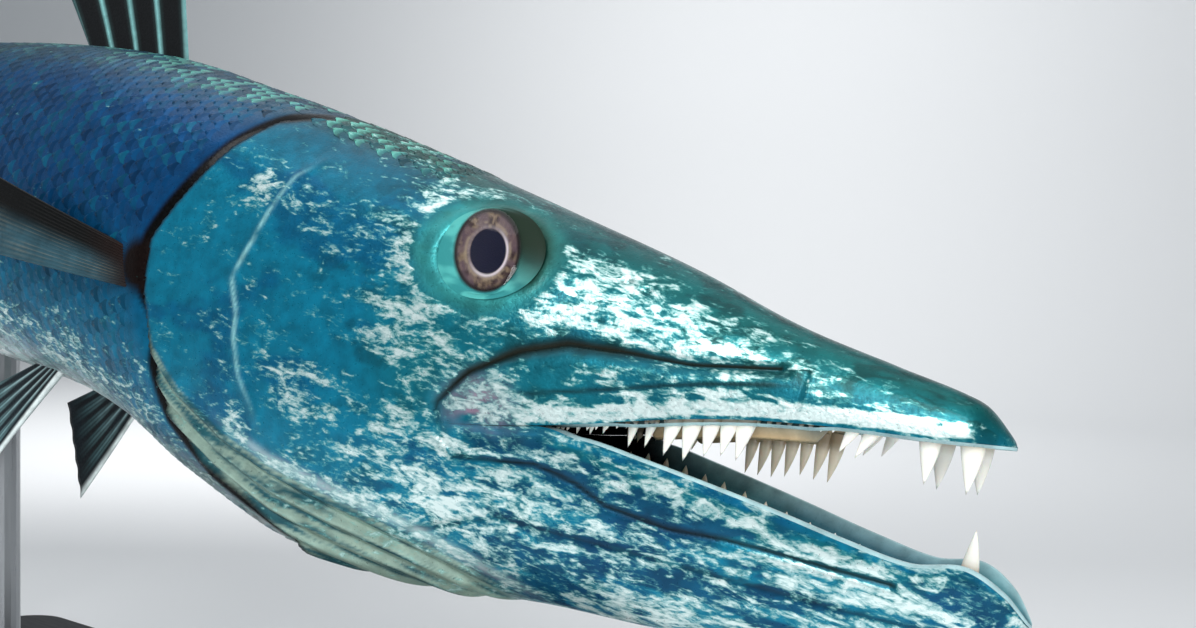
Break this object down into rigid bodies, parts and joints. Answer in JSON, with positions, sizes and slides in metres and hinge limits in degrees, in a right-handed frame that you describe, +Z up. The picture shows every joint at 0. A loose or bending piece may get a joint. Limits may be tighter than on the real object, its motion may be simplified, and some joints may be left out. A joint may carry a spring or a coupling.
{
  "type": "great barracuda on a display stand",
  "caption": "Still life-size model of a great barracuda swimming nose down with its mouth open, held up by rods on a flat base.",
  "frame": {"origin": "centre of the underside of the stand's base", "axes": "+X is the way the fish heads, +Y its left side, +Z up; it points 10.5 degrees nose down and its back leans 8.5 degrees to its left"},
  "size_m": [1.2325, 0.25, 0.5857],
  "materials": {
    "skin": "wet blue-green skin, silver and white on the cheeks, jaws and belly",
    "eye": "clear wet eye with a dark pupil and a purple-brown iris",
    "fin": "dark fin membrane over paler rays",
    "stand": "hardwood base under matt black paint",
    "rod": "brushed steel rod"
  },
  "bodies": {
    "root": {"head": "skin", "upper_jaw": "skin", "lower_jaw": "skin", "throat": "skin", "gill_cover_left": "skin", "gill_cover_right": "skin", "eye_left": "eye", "eye_right": "eye", "trunk_shoulder": "skin", "trunk_middle": "skin", "trunk_rear": "skin", "tail_stalk": "skin", "dorsal_fin_first": "fin", "dorsal_fin_second": "fin", "anal_fin": "fin", "tail_fin_upper": "fin", "tail_fin_lower": "fin", "pectoral_fin_left": "fin", "pectoral_fin_right": "fin", "pelvic_fin_left": "fin", "pelvic_fin_right": "fin", "stand_base": "stand", "stand_rod_front": "rod", "stand_rod_rear": "rod"}
  },
  "joints": []
}
